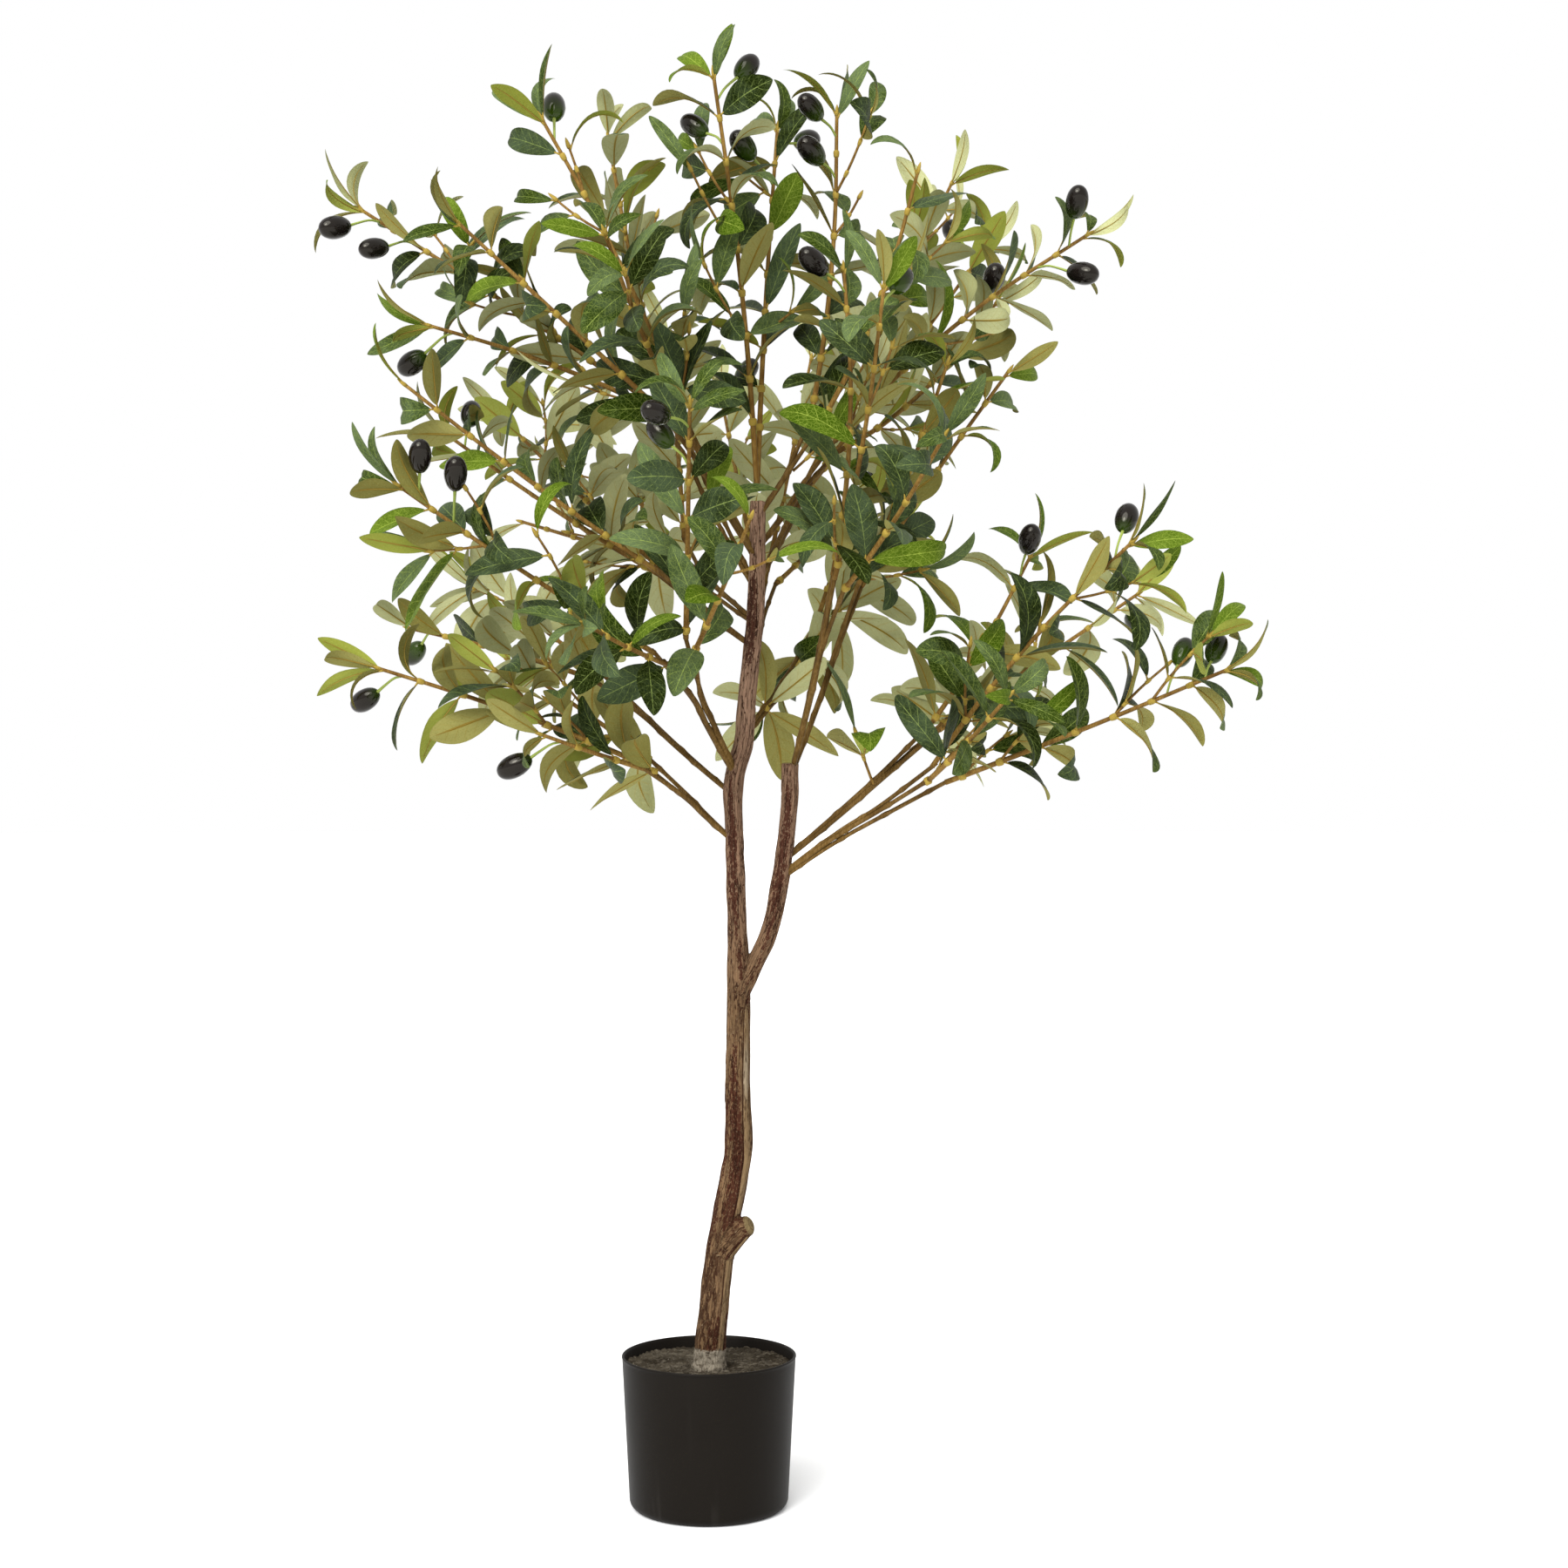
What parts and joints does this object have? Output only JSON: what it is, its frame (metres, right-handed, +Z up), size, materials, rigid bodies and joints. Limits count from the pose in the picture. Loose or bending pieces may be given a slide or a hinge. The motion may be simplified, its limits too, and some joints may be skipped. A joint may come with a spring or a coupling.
{
  "type": "artificial potted olive tree",
  "caption": "Artificial olive tree with a forked trunk, spreading boughs and leafy masses, standing in a plain round nursery pot filled with cement.",
  "frame": {"origin": "centre of the pot's flat underside", "axes": "+Z up along the tree, +X to the right and +Y away from the viewer of the reference view"},
  "size_m": [0.8252, 0.6067, 1.2439],
  "materials": {
    "pot": "matt",
    "cement": "rough",
    "bark": "rough",
    "stem": "satin",
    "foliage": "satin"
  },
  "bodies": {
    "root": {"pot": "pot", "pot_filling": "cement", "trunk": "bark", "side_stem": "bark", "bough_right_low_front": "stem", "foliage_right_low_front": "foliage", "bough_right_low_back": "stem", "foliage_right_low_back": "foliage", "bough_centre_front": "stem", "foliage_centre_front": "foliage", "bough_centre_right": "stem", "foliage_centre_right": "foliage", "bough_back_right": "stem", "foliage_back_right": "foliage", "bough_right_high": "stem", "foliage_right_high": "foliage", "bough_right_high_back": "stem", "foliage_right_high_back": "foliage", "bough_top_right": "stem", "foliage_top_right": "foliage", "foliage_top": "foliage", "bough_left_high_front": "stem", "foliage_left_high_front": "foliage", "bough_left_high": "stem", "foliage_left_high": "foliage", "bough_left_middle": "stem", "foliage_left_middle": "foliage", "bough_front_left": "stem", "foliage_front_left": "foliage", "bough_left_low_back": "stem", "foliage_left_low_back": "foliage", "bough_left_low": "stem", "foliage_left_low": "foliage", "bough_back": "stem", "foliage_back": "foliage", "bough_back_left": "stem", "foliage_back_left": "foliage"}
  },
  "joints": []
}
